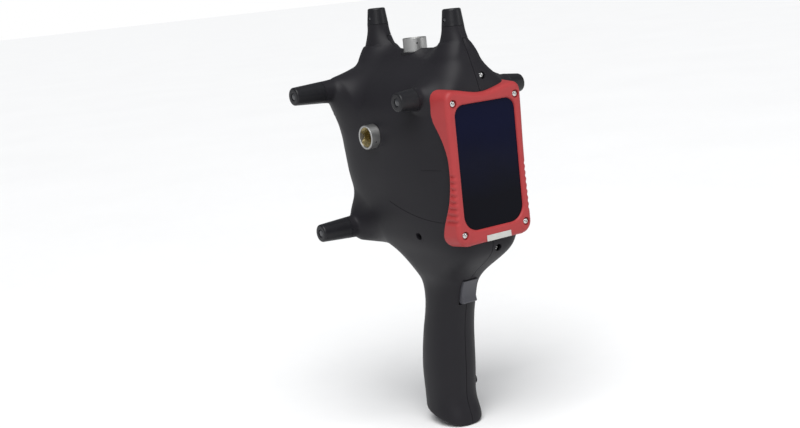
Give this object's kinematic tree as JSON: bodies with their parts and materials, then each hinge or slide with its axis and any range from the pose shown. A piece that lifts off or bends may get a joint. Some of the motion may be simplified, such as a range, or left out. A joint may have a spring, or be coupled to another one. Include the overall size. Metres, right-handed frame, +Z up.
{
  "type": "tracker-guided hand-held laser scanner",
  "caption": "Hand-held laser scanner with a pistol grip and trigger, a bumper-framed scan window, marker posts round the head and corner-cube reflectors.",
  "frame": {"origin": "centre of the cable socket's mouth on the foot face under the grip", "axes": "+Z up the grip and head, -Y the scanning side, X = 0 the plane where the housing halves meet"},
  "size_m": [0.207, 0.1754, 0.4014],
  "materials": {
    "housing": "soft-touch matte",
    "bumper": "matte",
    "cap": "satin",
    "window": "polished",
    "gasket": "matte",
    "label": "satin",
    "steel": "bright",
    "dark_steel": "black oxide",
    "anodised": "black anodised",
    "brass_barrel": "satin",
    "motor_can": "satin",
    "mirror": "polished",
    "lens_barrel": "black anodised",
    "board": "satin",
    "spreader": "milled",
    "bracket": "satin",
    "switch_body": "satin",
    "plunger": "satin",
    "trigger": "satin",
    "spring_steel": "bright",
    "socket": "satin",
    "insert": "satin",
    "cable": "matte",
    "marker_lens": "clear",
    "reflector_ring": "turned",
    "corner_mirror": "gold coated"
  },
  "bodies": {
    "housing": {"left_shell": "housing", "right_shell": "housing", "side_housing_screws": "dark_steel", "front_housing_screws": "steel", "front_bumper": "bumper", "bumper_screws": "steel", "scan_window": "window", "window_gasket": "gasket", "label_plate": "label", "cap_grub_screws": "dark_steel", "ring_grub_screws": "dark_steel", "optical_bench": "anodised", "laser_module": "brass_barrel", "mirror_motor": "motor_can", "camera_lens": "lens_barrel", "camera_housing": "anodised", "camera_sensor_board": "board", "main_board": "board", "heat_spreader": "spreader", "switch_bracket": "bracket", "trigger_switch": "switch_body", "trigger_pin": "steel", "trigger_spring": "spring_steel", "cable_socket": "socket", "socket_insert": "insert", "grip_cable": "cable", "top_front_marker_cap": "cap", "top_front_marker_light_pipe": "marker_lens", "top_front_light_board": "board", "top_rear_marker_cap": "cap", "top_rear_marker_light_pipe": "marker_lens", "top_rear_light_board": "board", "left_front_marker_cap": "cap", "left_front_marker_lens": "marker_lens", "left_front_light_board": "board", "left_high_rear_marker_cap": "cap", "left_high_rear_marker_lens": "marker_lens", "left_high_rear_light_board": "board", "left_low_rear_marker_cap": "cap", "left_low_rear_marker_lens": "marker_lens", "left_low_rear_light_board": "board", "right_front_marker_cap": "cap", "right_front_marker_lens": "marker_lens", "right_front_light_board": "board", "right_high_rear_marker_cap": "cap", "right_high_rear_marker_lens": "marker_lens", "right_high_rear_light_board": "board", "right_low_rear_marker_cap": "cap", "right_low_rear_marker_lens": "marker_lens", "right_low_rear_light_board": "board", "top_reflector_ring": "reflector_ring", "top_corner_mirror": "corner_mirror", "left_reflector_ring": "reflector_ring", "left_corner_mirror": "corner_mirror", "right_reflector_ring": "reflector_ring", "right_corner_mirror": "corner_mirror"},
    "trigger": {"trigger": "trigger"},
    "switch_plunger": {"switch_plunger": "plunger"},
    "scan_mirror": {"scan_mirror": "mirror"}
  },
  "joints": [
    {"name": "trigger_pull", "type": "hinge", "parent": "housing", "child": "trigger", "pos_m": [0, -0.038, 0.1325], "axis": [1, 0, 0], "range_deg": [0, 8], "stiffness_Nm_per_rad": 0.2, "springref_deg": -8.02, "deforming": ["trigger_spring"]},
    {"name": "switch_press", "type": "slide", "parent": "housing", "child": "switch_plunger", "axis": [0, 1, 0], "range_m": [0, 0.0022]},
    {"name": "mirror_swing", "type": "hinge", "parent": "housing", "child": "scan_mirror", "pos_m": [0, -0.075, 0.285], "axis": [0, 0, 1], "range_deg": [-10, 10]}
  ],
  "couplings": [
    {"joint": "switch_press", "follows": "trigger_pull", "m_per_rad": 0.0157}
  ]
}
